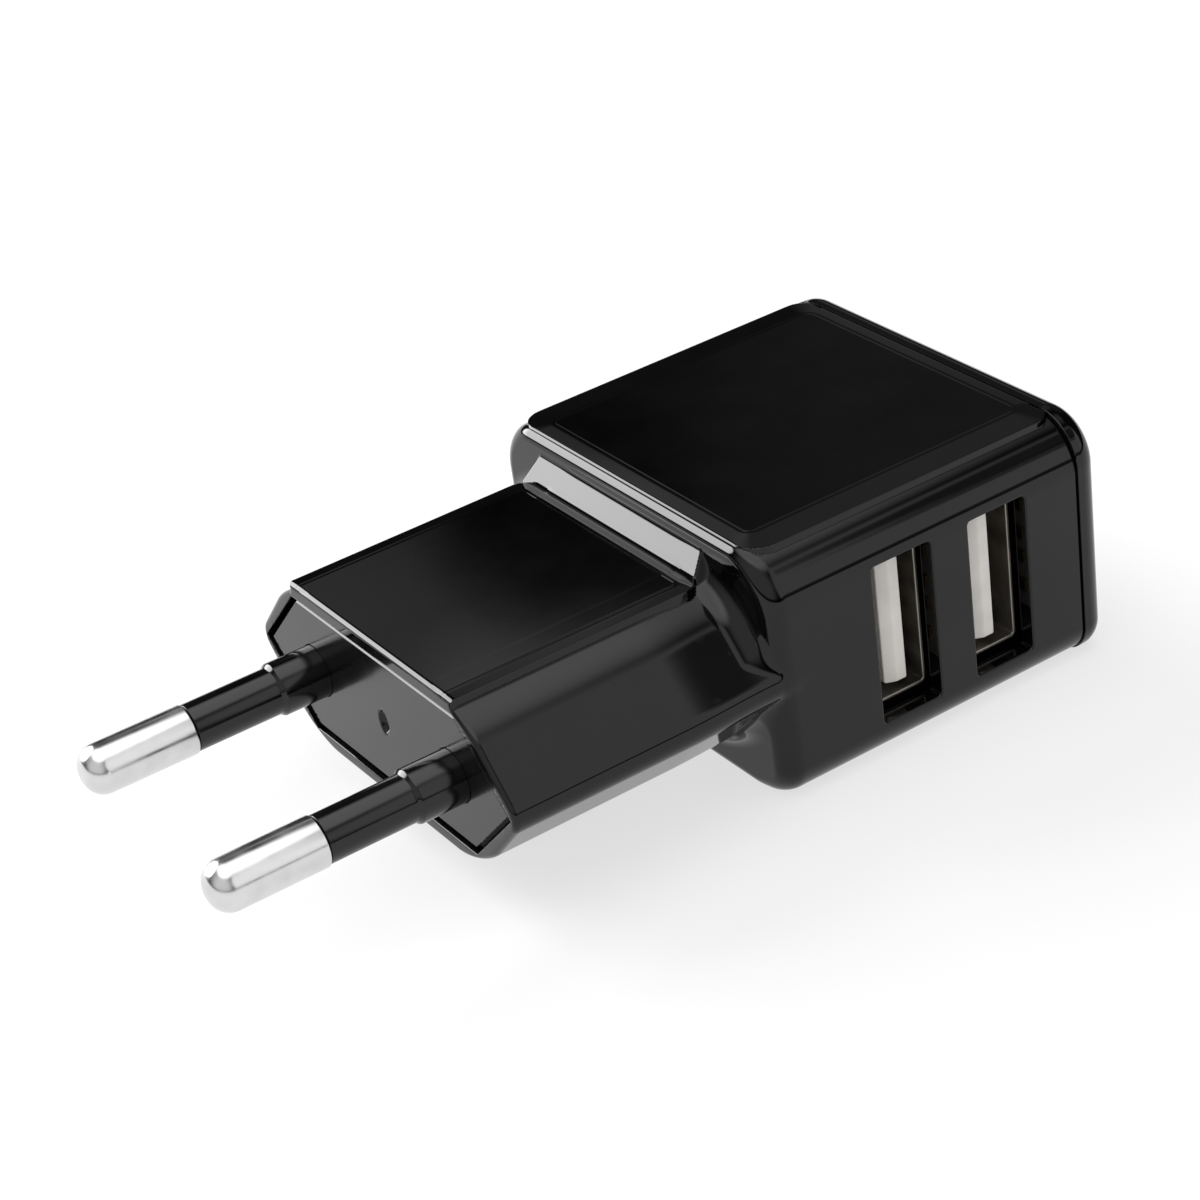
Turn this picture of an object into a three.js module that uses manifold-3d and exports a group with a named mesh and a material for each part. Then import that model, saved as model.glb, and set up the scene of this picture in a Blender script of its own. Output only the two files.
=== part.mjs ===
// USB wall charger: a two-pin plug and a body with two USB-A sockets in its side.
// Millimetres. +Z is up, the pins point along -Y and the sockets open along +X. The origin is the middle of
// the plug face's rim, on the mid-line between the pins. The charger lies on the underside of its body.
import * as THREE from 'three';
import { mergeVertices } from 'three/addons/utils/BufferGeometryUtils.js';
import Module from 'manifold-3d';

const wasm = await Module();
wasm.setup();

// ---------------------------------------------------------------- driving dimensions

const FINE = 24;                     // facets round a pin
const ARC_STEPS = 3;                 // steps in each half of a rounded corner
const FIT_GAP = 0.15;                // between pieces that are held in one another
const SKIN = 1.5;                    // housing wall

const PLUG = {
  ridge: 18.35,                      // half width to the side ridge, before rounding
  flat: 11.8,                        // half width of the flat top and bottom, before rounding
  half: 7.0,                         // half height
  ridgeRound: 1.6,
  edgeRound: 2.6,
};
const PLUG_ROOM = { ridge: 16.0, flat: 10.2, half: 5.2, front: 1.0 };      // the hollow in the plug
const PLATE = { ridge: 16.95, flat: 11.23, half: 5.65, face: 0.2, thick: 2.9, rimGap: 0.25, floor: 0.5 };
const DIMPLE = { halfWidth: 0.65, depth: 0.5, halfHeight: 1.0, z: -0.1 };
const PIN = {
  spacing: 19.3,                     // between the two pin axes
  tip: -19.4,
  metalEnd: -10.8,                   // where the bare metal stops and the sleeve starts
  collar: -3.55,                     // where the sleeve thickens
  radius: 1.95,
  sleeveRadius: 1.83,
  collarRadius: 2.08,
  coreRadius: 1.2,
  tail: 6.3,
};
const BODY = {
  half: 17.4,                        // half width
  top: 10.1,                         // half height, to the raised panel
  panelRise: 0.15,
  front: 22.6,
  rear: 51.2,
  topRound: 4.4,
  bottomRound: 2.7,
  frontRound: 0.85,
};
const PANEL = { half: 15.1, front: 23.3, rear: 51.2, round: 2.0 };
const RAMP = { half: 10.8, foot: 21.35, top: 8.6 };
const CAP = { front: 51.35, rear: 53.5, proud: 0.15, round: 1.75, skirt: 48.9, skirtWall: 1.1 };

const WINDOW = { width: 5.45, bottom: -7.1, top: 6.1, centres: [34.5, 43.45] };
const SOCKET = {
  front: 15.65,
  depth: 13.6,
  width: 5.4,
  bottom: -6.6,
  top: 6.5,
  wall: 0.3,
  shifts: [-0.05, -0.15],            // each socket sits a little off its window's middle
};
const TONGUE = {
  thick: 1.8,
  bottom: -5.6,
  top: 5.5,
  front: 15.45,
  base: 2.6,
  chamfer: 0.9,
  bevelDepth: 0.6,
  shifts: [0.15, -0.3],
};
const CONTACT = { wide: 1.0, thick: 0.25, front: 14.6, offsets: [-3.5, -1.0, 1.0, 3.5] };

const BOARD = { left: -15.3, right: 13.0, front: 24.6, rear: 48.5, bottom: -8.3, thick: 1.4, notch: [1.5, 3] };
const SOLDER_GAP = 0.1;              // between a part and the board under it
const LEAD_RADIUS = 0.55;
const INPUT_CAPACITOR = { x: 4.5, from: 8, to: 20.4, radius: 4.1, groove: 0.25 };
const OUTPUT_CAPACITOR = { x: 7.2, y: 27.9, radius: 3.0, height: 11 };
const RECTIFIER = { x: [-6.5, -1.5], y: [26, 30], height: 2.6 };
const CONTROLLER = { x: [-1.0, 3.8], y: [26, 29.8], height: 1.5 };
const DISC = { x: -11.2, y: 32.4, radius: 3.6, thick: 2.6 };
const FUSE = { x: -3.6, y: 32.6, radius: 1.4, length: 7 };

// ---------------------------------------------------------------- geometry helpers

function toSolid(geometry) {
  const bare = geometry.index ? geometry.toNonIndexed() : geometry;
  bare.deleteAttribute('normal');
  bare.deleteAttribute('uv');
  const merged = mergeVertices(bare, 1e-4);
  const solid = new wasm.Manifold(new wasm.Mesh({
    numProp: 3,
    vertProperties: new Float32Array(merged.attributes.position.array),
    triVerts: new Uint32Array(merged.index.array),
  }));
  return solid;
}

function toGeometry(solid) {
  const mesh = solid.getMesh();
  const geometry = new THREE.BufferGeometry();
  geometry.setAttribute('position', new THREE.BufferAttribute(new Float32Array(mesh.vertProperties), 3));
  geometry.setIndex(new THREE.BufferAttribute(new Uint32Array(mesh.triVerts), 1));
  return geometry;
}

// A polygon with each corner rounded by an arc; corners are [x, y, radius], anticlockwise.
function roundedShape(corners) {
  const shape = new THREE.Shape();
  corners.forEach(([x, y, radius], i) => {
    const here = new THREE.Vector2(x, y);
    const [px, py] = corners[(i + corners.length - 1) % corners.length];
    const [nx, ny] = corners[(i + 1) % corners.length];
    const back = new THREE.Vector2(px, py).sub(here).normalize();
    const ahead = new THREE.Vector2(nx, ny).sub(here).normalize();
    const halfAngle = Math.acos(back.dot(ahead)) / 2;
    const reach = radius / Math.tan(halfAngle);
    const enter = here.clone().addScaledVector(back, reach);
    const leave = here.clone().addScaledVector(ahead, reach);
    if (i === 0) shape.moveTo(enter.x, enter.y);
    else shape.lineTo(enter.x, enter.y);
    if (radius > 0) {
      const inward = back.clone().add(ahead).normalize();
      const middle = here.clone().addScaledVector(inward, radius / Math.sin(halfAngle));
      const start = enter.clone().sub(middle).angle();
      const end = leave.clone().sub(middle).angle();
      shape.absarc(middle.x, middle.y, radius, start, end, false);
    }
  });
  shape.closePath();
  return shape;
}

// The three extrusions take a shape drawn in (x, z), (x, y) or (y, z).
function alongY(shape, from, to, options = {}) {
  const settings = { depth: to - from, bevelEnabled: false, curveSegments: ARC_STEPS, ...options };
  return toSolid(new THREE.ExtrudeGeometry(shape, settings).rotateX(Math.PI / 2).translate(0, to, 0));
}

function alongZ(shape, from, to) {
  const settings = { depth: to - from, bevelEnabled: false, curveSegments: ARC_STEPS };
  return toSolid(new THREE.ExtrudeGeometry(shape, settings).translate(0, 0, from));
}

function alongX(shape, from, to) {
  const turn = new THREE.Matrix4().makeBasis(
    new THREE.Vector3(0, 1, 0), new THREE.Vector3(0, 0, 1), new THREE.Vector3(1, 0, 0));
  const settings = { depth: to - from, bevelEnabled: false, curveSegments: ARC_STEPS };
  return toSolid(new THREE.ExtrudeGeometry(shape, settings).applyMatrix4(turn).translate(from, 0, 0));
}

function box([x0, x1], [y0, y1], [z0, z1]) {
  const geometry = new THREE.BoxGeometry(x1 - x0, y1 - y0, z1 - z0);
  return toSolid(geometry.translate((x0 + x1) / 2, (y0 + y1) / 2, (z0 + z1) / 2));
}

function rectangle(x0, x1, y0, y1, radius) {
  return roundedShape([[x0, y0, radius], [x1, y0, radius], [x1, y1, radius], [x0, y1, radius]]);
}

// The plug's six-sided outline, drawn in (x, z).
function plugOutline(ridge, flat, half, ridgeRound, edgeRound) {
  return roundedShape([
    [ridge, 0, ridgeRound], [flat, half, edgeRound], [-flat, half, edgeRound],
    [-ridge, 0, ridgeRound], [-flat, -half, edgeRound], [flat, -half, edgeRound],
  ]);
}

// The body's outline, drawn in (x, z), shrunk by inset on every side.
function bodyOutline(inset) {
  const x = BODY.half - inset;
  const top = BODY.top - BODY.panelRise - inset;
  const bottom = -BODY.top + inset;
  const topRound = Math.max(BODY.topRound - inset, 0.4);
  const bottomRound = Math.max(BODY.bottomRound - inset, 0.4);
  return roundedShape([
    [-x, bottom, bottomRound], [x, bottom, bottomRound], [x, top, topRound], [-x, top, topRound],
  ]);
}

// A body of revolution about a line along Y; profile is [radius, y] from end to end.
function turned(profile, x = 0, z = 0) {
  const points = profile.map(([radius, y]) => new THREE.Vector2(radius, y));
  return toSolid(new THREE.LatheGeometry(points, FINE).translate(x, 0, z));
}

const meshes = new THREE.Group();

function add(name, solid, color, roughness, metalness) {
  const material = new THREE.MeshStandardMaterial({ color, roughness, metalness });
  const mesh = new THREE.Mesh(toGeometry(solid), material);
  mesh.name = name;
  meshes.add(mesh);
}

// ---------------------------------------------------------------- housing, plate and cap

function windowBox(centre, from, to) {
  const half = WINDOW.width / 2;
  return alongX(rectangle(centre - half, centre + half, WINDOW.bottom, WINDOW.top, 0.4), from, to);
}

function housing() {
  const { half, top, panelRise, front, rear, frontRound } = BODY;
  const section = alongY(bodyOutline(0), front, rear);
  const plan = alongZ(roundedShape([
    [-half, front, frontRound], [half, front, frontRound], [half, rear, 0], [-half, rear, 0],
  ]), -top, top);
  const side = alongX(roundedShape([
    [front, -top, frontRound], [rear, -top, 0],
    [rear, top - panelRise, 0], [front, top - panelRise, frontRound],
  ]), -half, half);
  const panel = alongZ(rectangle(-PANEL.half, PANEL.half, PANEL.front, PANEL.rear, PANEL.round), 0, top);
  const plugSection = plugOutline(PLUG.ridge, PLUG.flat, PLUG.half, PLUG.ridgeRound, PLUG.edgeRound);
  const plugBody = alongY(plugSection, 0, front + 1);
  const ramp = alongX(new THREE.Shape([
    new THREE.Vector2(RAMP.foot, 0), new THREE.Vector2(front + 1, 0), new THREE.Vector2(front + 1, RAMP.top),
    new THREE.Vector2(front, RAMP.top), new THREE.Vector2(RAMP.foot, PLUG.half),
  ]), -RAMP.half, RAMP.half);
  const outside = section.intersect(plan).intersect(side).add(panel).add(plugBody).add(ramp);

  const rim = PLATE.rimGap;
  const plateSeat = alongY(
    plugOutline(PLATE.ridge + rim, PLATE.flat + rim, PLATE.half + rim, 0.3, 0.3),
    -1, PLATE.face + PLATE.thick + FIT_GAP);
  const plugCavity = alongY(
    plugOutline(PLUG_ROOM.ridge, PLUG_ROOM.flat, PLUG_ROOM.half, 0.6, 0.6), PLUG_ROOM.front, front + 3);
  const bodyCavity = alongY(bodyOutline(SKIN), front + SKIN, rear + 1);
  const inside = plateSeat.add(plugCavity).add(bodyCavity);
  const windows = WINDOW.centres.map((centre) => windowBox(centre, SOCKET.front, half + 1));
  return windows.reduce((rest, opening) => rest.subtract(opening), outside.subtract(inside));
}

function plugPlate() {
  const back = PLATE.face + PLATE.thick;
  const slab = alongY(plugOutline(PLATE.ridge, PLATE.flat, PLATE.half, 0.15, 0.15), PLATE.face, back);
  const { halfWidth, depth, halfHeight, z } = DIMPLE;
  const dimple = toSolid(new THREE.SphereGeometry(1, FINE / 2, 6)
    .scale(halfWidth, depth, halfHeight).translate(0, PLATE.face, z));
  const floor = back - PLATE.floor;
  const hole = PIN.collarRadius + FIT_GAP;
  const coreHole = PIN.coreRadius + FIT_GAP;
  return [-1, 1].reduce((rest, side) => {
    const x = side * PIN.spacing / 2;
    const bore = turned([
      [0, -1], [hole, -1], [hole, floor], [coreHole, floor], [coreHole, back + 1], [0, back + 1],
    ], x);
    return rest.subtract(bore);
  }, slab.subtract(dimple));
}

function endCap() {
  const { front, rear, proud, round, skirt, skirtWall } = CAP;
  const start = front - 1;
  const shell = alongY(bodyOutline(-proud), start, rear - round, {
    depth: rear - round - start,
    bevelEnabled: true,
    bevelThickness: round,
    bevelSize: round,
    bevelOffset: -round,
    bevelSegments: 3,
  });
  const far = 2 * BODY.half;
  const kept = box([-far, far], [front, rear + 1], [-BODY.top, far]);    // level with the body underneath
  const plug = alongY(bodyOutline(SKIN + FIT_GAP), skirt, front + 0.3);
  const hollow = alongY(bodyOutline(SKIN + FIT_GAP + skirtWall), skirt - 1, front + 0.3);
  return shell.intersect(kept).add(plug).subtract(hollow);
}

// ---------------------------------------------------------------- pins

function pinMetal(x) {
  const { tip, metalEnd, radius, coreRadius, tail } = PIN;
  const quarter = Array.from({ length: 7 }, (_, i) => i * Math.PI / 12);
  const nose = quarter.map((a) => [radius * Math.sin(a), tip + radius - radius * Math.cos(a)]);
  return turned([...nose, [radius, metalEnd - 0.15], [radius - 0.15, metalEnd], [coreRadius, metalEnd],
    [coreRadius, tail], [0, tail]], x);
}

function pinSleeve(x) {
  const { metalEnd, collar, sleeveRadius, collarRadius, coreRadius } = PIN;
  const start = metalEnd + 0.1;
  const end = PLATE.face + PLATE.thick - PLATE.floor - FIT_GAP;
  const bore = coreRadius + 0.1;
  return turned([[bore, start], [sleeveRadius, start], [sleeveRadius, collar], [collarRadius, collar + 0.1],
    [collarRadius, end], [bore, end], [bore, start]], x);
}

// A lead from the pin's tail to the board, round the side of the capacitors.
function lead(side) {
  const x = side * PIN.spacing / 2;
  const path = new THREE.CatmullRomCurve3([
    new THREE.Vector3(x, PIN.tail + 0.3, 0),
    new THREE.Vector3(x + side * 0.4, 9, 0),
    new THREE.Vector3(x + side * 1.6, 16, -0.4),
    new THREE.Vector3(x + side * 1.6, 22, -1.6),
    new THREE.Vector3(x + side * 1.8, 26.5, -3.6),
    new THREE.Vector3(x + side * 1.8, 27.6, BOARD.bottom + BOARD.thick + 0.4),
  ]);
  const round = new THREE.Shape().absarc(0, 0, LEAD_RADIUS, 0, 2 * Math.PI, false);
  return toSolid(new THREE.ExtrudeGeometry(round, { steps: 20, curveSegments: 4, extrudePath: path }));
}

// ---------------------------------------------------------------- USB sockets

function socketShell(centre) {
  const { front, depth, width, bottom, top, wall } = SOCKET;
  const [y0, y1] = [centre - width / 2, centre + width / 2];
  const outer = alongX(rectangle(y0, y1, bottom, top, 0.5), front - depth, front);
  const inner = alongX(
    rectangle(y0 + wall, y1 - wall, bottom + wall, top - wall, 0.25), front - depth + wall, front + 1);
  return outer.subtract(inner);
}

// The tongue and the block that it grows from; its front edge is bevelled on the -Y side.
function tongue(centre, socketCentre) {
  const { thick, bottom, top, front, base, chamfer, bevelDepth } = TONGUE;
  const back = SOCKET.front - SOCKET.depth + SOCKET.wall + 0.2;
  const [y0, y1] = [centre - thick / 2, centre + thick / 2];
  const bar = alongZ(new THREE.Shape([
    new THREE.Vector2(back, y0), new THREE.Vector2(front - bevelDepth, y0),
    new THREE.Vector2(front, y0 + chamfer), new THREE.Vector2(front, y1), new THREE.Vector2(back, y1),
  ]), bottom, top);
  const reach = SOCKET.width / 2 - SOCKET.wall - 0.2;
  const block = box([back, back + base], [socketCentre - reach, socketCentre + reach],
    [SOCKET.bottom + SOCKET.wall + 0.2, SOCKET.top - SOCKET.wall - 0.2]);
  return bar.add(block);
}

function contact(tongueCentre, offset) {
  const { wide, thick, front } = CONTACT;
  const back = SOCKET.front - SOCKET.depth + SOCKET.wall + 0.2 + TONGUE.base + 0.2;
  const y0 = tongueCentre + TONGUE.thick / 2 + 0.05;
  const z = (TONGUE.bottom + TONGUE.top) / 2 + offset;
  return box([back, front], [y0, y0 + thick], [z - wide / 2, z + wide / 2]);
}

// ---------------------------------------------------------------- inside

const boardTop = BOARD.bottom + BOARD.thick;
const seat = boardTop + SOLDER_GAP;

function board() {
  const { left, right, front, rear, bottom, notch } = BOARD;
  const [across, along] = notch;
  const slab = alongZ(rectangle(left, right, front, rear, 0.8), bottom, boardTop);
  const notches = [left, right].map((edge) => box(
    [edge - across, edge + across], [rear - along, rear + 1], [bottom - 1, boardTop + 1]));
  return notches.reduce((rest, notch) => rest.subtract(notch), slab);
}

const TRANSFORMER = {
  x: -8.2,
  y: 41.0,
  width: 14.2,
  depth: 5.2,
  height: 12.6,
  leg: 2.2,
  window: 3.3,
  yoke: 1.7,
  spoolWall: 0.5,
  flange: 0.8,
  clearance: 0.2,
};

function transformer() {
  const { x, y, width, depth, height, leg, window, yoke, spoolWall, flange, clearance } = TRANSFORMER;
  const z0 = seat;
  const z1 = seat + height;
  const middle = (z0 + z1) / 2;
  const ring = (outer, inner, from, to) => {
    const block = alongZ(rectangle(x - outer, x + outer, y - outer, y + outer, 0.6), from, to);
    return block.subtract(box([x - inner, x + inner], [y - inner, y + inner], [from - 1, to + 1]));
  };
  const openings = [-1, 1].map((side) => {
    const near = x + side * leg;
    const far = x + side * (leg + window);
    return box([Math.min(near, far), Math.max(near, far)], [y - depth, y + depth], [z0 + yoke, z1 - yoke]);
  });
  const frame = box([x - width / 2, x + width / 2], [y - depth / 2, y + depth / 2], [z0, z1]);
  const core = openings.reduce((rest, opening) => rest.subtract(opening), frame);

  const spoolHalf = height / 2 - yoke - clearance;
  const tube = depth / 2 + clearance;
  const reach = leg + window - clearance;
  const bobbin = ring(tube + spoolWall, tube, middle - spoolHalf, middle + spoolHalf)
    .add(ring(reach, tube, middle - spoolHalf, middle - spoolHalf + flange))
    .add(ring(reach, tube, middle + spoolHalf - flange, middle + spoolHalf));
  const woundHalf = spoolHalf - flange - clearance;
  const winding = ring(reach - 0.3, tube + spoolWall + clearance, middle - woundHalf, middle + woundHalf);
  add('transformer_core', core, 0x3a3a3c, 0.7, 0.2);
  add('transformer_bobbin', bobbin, 0x1d1d1f, 0.5, 0);
  add('transformer_winding', winding, 0xd8b23a, 0.45, 0);
}

// A capacitor that lies along Y in the plug, with rounded rims and the crimp groove near its front.
function inputCapacitor(x) {
  const { from, to, radius, groove } = INPUT_CAPACITOR;
  return turned([
    [0, from], [radius - 0.3, from], [radius, from + 0.3], [radius, from + 1.2], [radius - groove, from + 1.6],
    [radius, from + 2], [radius, to - 0.3], [radius - 0.3, to], [0, to],
  ], x);
}

function outputCapacitor() {
  const { x, y, radius, height } = OUTPUT_CAPACITOR;
  return toSolid(new THREE.CylinderGeometry(radius, radius, height, FINE)
    .rotateX(Math.PI / 2).translate(x, y, seat + height / 2));
}

function discCapacitor() {
  const { x, y, radius, thick } = DISC;
  return toSolid(new THREE.CylinderGeometry(radius, radius, thick, FINE)
    .translate(x, y, seat + radius + SOLDER_GAP));
}

function fuseResistor() {
  const { x, y, radius, length } = FUSE;
  return toSolid(new THREE.CylinderGeometry(radius, radius, length, FINE)
    .rotateZ(Math.PI / 2).translate(x, y, seat + radius + SOLDER_GAP));
}

function mainsParts() {
  add('input_capacitor_left', inputCapacitor(-INPUT_CAPACITOR.x), 0x23304a, 0.4, 0);
  add('input_capacitor_right', inputCapacitor(INPUT_CAPACITOR.x), 0x23304a, 0.4, 0);
  add('bridge_rectifier', box(RECTIFIER.x, RECTIFIER.y, [seat, seat + RECTIFIER.height]), 0x161616, 0.5, 0);
  add('controller_chip', box(CONTROLLER.x, CONTROLLER.y, [seat, seat + CONTROLLER.height]), 0x141414, 0.5, 0);
  add('safety_capacitor', discCapacitor(), 0x2f6fb5, 0.5, 0);
  add('fuse_resistor', fuseResistor(), 0x7fae7c, 0.5, 0);
  add('output_capacitor', outputCapacitor(), 0x1f2a20, 0.4, 0);
}

// ---------------------------------------------------------------- the object

add('housing', housing(), 0x0b0b0c, 0.08, 0);
add('end_cap', endCap(), 0x0b0b0c, 0.08, 0);
add('plug_plate', plugPlate(), 0x0b0b0c, 0.1, 0);
for (const [name, side] of [['left', -1], ['right', 1]]) {
  const x = side * PIN.spacing / 2;
  add(`pin_${name}`, pinMetal(x), 0xd4d6d8, 0.18, 1);
  add(`pin_sleeve_${name}`, pinSleeve(x), 0x0a0a0b, 0.15, 0);
  add(`lead_${name}`, lead(side), side < 0 ? 0x2450a0 : 0x7a4a26, 0.5, 0);
}
['front', 'rear'].forEach((name, i) => {
  const socketCentre = WINDOW.centres[i] + SOCKET.shifts[i];
  const tongueCentre = WINDOW.centres[i] + TONGUE.shifts[i];
  add(`usb_shell_${name}`, socketShell(socketCentre), 0xc9cbcd, 0.25, 1);
  add(`usb_tongue_${name}`, tongue(tongueCentre, socketCentre), 0xe9e7e1, 0.45, 0);
  CONTACT.offsets.forEach((offset, k) => {
    add(`usb_contact_${name}_${k + 1}`, contact(tongueCentre, offset), 0xd9b45c, 0.3, 1);
  });
});
add('main_board', board(), 0x2c5a36, 0.6, 0);
transformer();
mainsParts();

export default meshes;
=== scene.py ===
import math

import bpy
import numpy as np
from mathutils import Matrix, Vector


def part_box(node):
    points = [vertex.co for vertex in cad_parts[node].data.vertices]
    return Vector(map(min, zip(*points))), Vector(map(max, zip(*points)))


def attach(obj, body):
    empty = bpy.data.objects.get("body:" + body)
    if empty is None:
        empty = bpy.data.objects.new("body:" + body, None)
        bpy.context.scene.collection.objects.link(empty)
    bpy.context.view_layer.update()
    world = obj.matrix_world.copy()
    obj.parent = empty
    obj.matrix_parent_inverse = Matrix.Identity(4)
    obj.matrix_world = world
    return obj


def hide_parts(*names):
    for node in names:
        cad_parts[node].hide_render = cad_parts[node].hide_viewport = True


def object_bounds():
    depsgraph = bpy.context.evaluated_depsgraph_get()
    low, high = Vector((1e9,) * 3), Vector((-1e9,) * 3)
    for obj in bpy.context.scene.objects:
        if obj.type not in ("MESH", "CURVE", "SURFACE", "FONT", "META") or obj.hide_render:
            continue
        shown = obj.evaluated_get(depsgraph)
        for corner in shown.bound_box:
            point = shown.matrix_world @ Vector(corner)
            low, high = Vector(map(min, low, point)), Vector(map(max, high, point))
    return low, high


# A glossy black USB wall charger: two-pin plug, body with two USB-A sockets, end cap.
# Shapes are worked out in millimetres in the row frame and turned into metres when a mesh is made.
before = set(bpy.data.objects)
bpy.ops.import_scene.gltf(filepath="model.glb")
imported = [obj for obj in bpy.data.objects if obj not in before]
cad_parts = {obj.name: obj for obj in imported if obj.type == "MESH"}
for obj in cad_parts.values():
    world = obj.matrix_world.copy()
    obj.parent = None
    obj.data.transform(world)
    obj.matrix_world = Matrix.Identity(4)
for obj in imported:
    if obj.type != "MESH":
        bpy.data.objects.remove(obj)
cad_box = [list(corner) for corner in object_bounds()]
MM = 0.001


def box_mm(node):
    low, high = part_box(node)
    return np.array(low) / MM, np.array(high) / MM


# ---------------------------------------------------------------- camera

CAMERA_PLACE = (162.21, -74.92, 111.69)
CAMERA_AZIMUTH = math.radians(59.81)
CAMERA_ELEVATION = math.radians(30.38)
CAMERA_ROLL = math.radians(8.37)
CAMERA_LENS = 87.72

camera_data = bpy.data.cameras.new("camera")
camera = bpy.data.objects.new("camera", camera_data)
bpy.context.scene.collection.objects.link(camera)
camera_data.sensor_fit = "HORIZONTAL"
camera_data.sensor_width = 36.0
camera_data.lens = CAMERA_LENS
camera_data.clip_start = 0.01
camera_data.clip_end = 20.0
forward = Vector((
    -math.sin(CAMERA_AZIMUTH) * math.cos(CAMERA_ELEVATION),
    math.cos(CAMERA_AZIMUTH) * math.cos(CAMERA_ELEVATION),
    -math.sin(CAMERA_ELEVATION)))
level = forward.cross(Vector((0, 0, 1))).normalized()
down = forward.cross(level)
right = level * math.cos(CAMERA_ROLL) + down * math.sin(CAMERA_ROLL)
up = right.cross(forward)
turn = Matrix((right, up, -forward)).transposed()
camera.matrix_world = Matrix.Translation(Vector(CAMERA_PLACE) * MM) @ turn.to_4x4()
bpy.context.scene.camera = camera
bpy.context.scene.view_settings.view_transform = "Standard"

# ---------------------------------------------------------------- shapes as fields
# A field is negative inside and grows by about a millimetre for each millimetre out.


def cut(a, b, r):
    """What is in both, with the edge between them rounded."""
    corner = np.hypot(np.maximum(a + r, 0), np.maximum(b + r, 0))
    return np.minimum(np.maximum(a, b), -r) + corner


def join(a, b, r):
    """What is in either, with the corner between them filled."""
    corner = np.hypot(np.maximum(r - a, 0), np.maximum(r - b, 0))
    return np.maximum(np.minimum(a, b), r) - corner


def blend(a, b, width):
    """What is in either, eased over a width where the two surfaces nearly run on from each other."""
    near = np.maximum(width - np.abs(a - b), 0)
    return np.minimum(a, b) - near * near / (4 * width)


def rounded(x, y, half_x, half_y, r):
    """A rectangle about the origin, with round corners."""
    qx = np.abs(x) - half_x + r
    qy = np.abs(y) - half_y + r
    return np.minimum(np.maximum(qx, qy), 0) + np.hypot(np.maximum(qx, 0), np.maximum(qy, 0)) - r


def smooth(value, low, high):
    t = np.clip((value - low) / (high - low), 0, 1)
    return t * t * (3 - 2 * t)


def ticks(*spans):
    """Grid positions from (from, to, step) spans laid end to end."""
    out = []
    for start, stop, step in spans:
        out.extend(np.linspace(start, stop, max(1, round((stop - start) / step)), endpoint=False))
    out.append(spans[-1][1])
    return np.array(out)


SHARP_CORNER = math.cos(math.radians(32))   # a quad turned further than this from its normal lies at an edge
NUDGE = 0.35                         # how far towards the quad's middle the normal of such a corner is taken
PULL_TO_MIDDLE = 0.02                # steadies a cell's point where the surface is flat
STEP_BACK = 0.9                      # share of the remaining distance taken by each step onto the surface


def gradient(field, points, step=0.004):
    out = np.empty_like(points)
    for k in range(3):
        shift = np.zeros(3)
        shift[k] = step
        ahead, back = points + shift, points - shift
        out[:, k] = field(*ahead.T) - field(*back.T)
    return out / np.maximum(np.linalg.norm(out, axis=1, keepdims=True), 1e-12)


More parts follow.
